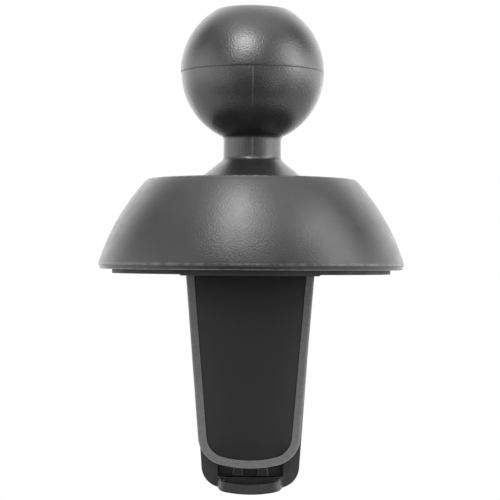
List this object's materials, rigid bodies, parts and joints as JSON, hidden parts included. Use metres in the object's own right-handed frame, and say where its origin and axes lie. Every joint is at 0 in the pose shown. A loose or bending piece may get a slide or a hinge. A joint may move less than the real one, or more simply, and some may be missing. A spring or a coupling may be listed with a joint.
{
  "type": "vent clip with ball head",
  "caption": "Vent clip with a ball head: a domed nut pushes a rubber-faced disc towards the vent and closes a short front jaw on a long hooked jaw that holds the slat.",
  "frame": {"origin": "centre of the ball", "axes": "+Z from the jaws to the ball along the clip's axis, -Y out of the front jaw's face, +X to the right seen from the front"},
  "size_m": [0.0362, 0.0362, 0.0576],
  "materials": {
    "stud_plastic": "fine moulded grain, satin black",
    "dome_plastic": "fine moulded grain, satin black",
    "jaw_plastic": "satin dark grey",
    "panel_plastic": "smooth black inset",
    "soft_grip": "matt silicone",
    "pad_rubber": "matt rubber",
    "inner_plastic": "as moulded, black",
    "bearing_plastic": "smooth natural white",
    "steel": "plain bright steel"
  },
  "bodies": {
    "core": {"ball_stud": "stud_plastic", "stud_screw": "steel", "threaded_barrel": "inner_plastic", "jaw_pivot_pin": "steel", "rear_jaw_pin_upper": "steel", "rear_jaw_pin_lower": "steel", "rear_jaw": "jaw_plastic", "rear_jaw_grip": "soft_grip", "jaw_spring": "steel"},
    "pressure_plate": {"pad_carrier": "inner_plastic", "pad_plate": "inner_plastic", "rubber_pad": "pad_rubber", "plate_screws": "steel", "thrust_washer": "bearing_plastic", "retaining_ring": "steel"},
    "dome_nut": {"dome_shell": "dome_plastic", "thread_sleeve": "inner_plastic", "sleeve_screws": "steel"},
    "front_arm": {"front_jaw": "jaw_plastic", "front_jaw_panel": "panel_plastic", "front_jaw_grip": "soft_grip"}
  },
  "joints": [
    {"name": "dome_turn", "type": "hinge", "parent": "pressure_plate", "child": "dome_nut", "pos_m": [0, 0, -0.018], "axis": [0, 0, -1], "range_deg": [0, 360]},
    {"name": "plate_slide", "type": "slide", "parent": "core", "child": "pressure_plate", "axis": [0, 0, -1], "range_m": [0, 0.003]},
    {"name": "jaw_close", "type": "hinge", "parent": "core", "child": "front_arm", "pos_m": [0, -0.002, -0.0183], "axis": [1, 0, 0], "range_deg": [0, 3.5]}
  ],
  "couplings": [
    {"joint": "plate_slide", "follows": "dome_turn", "m_per_rad": 0.00047746},
    {"joint": "jaw_close", "follows": "dome_turn", "ratio": 0.009722}
  ]
}
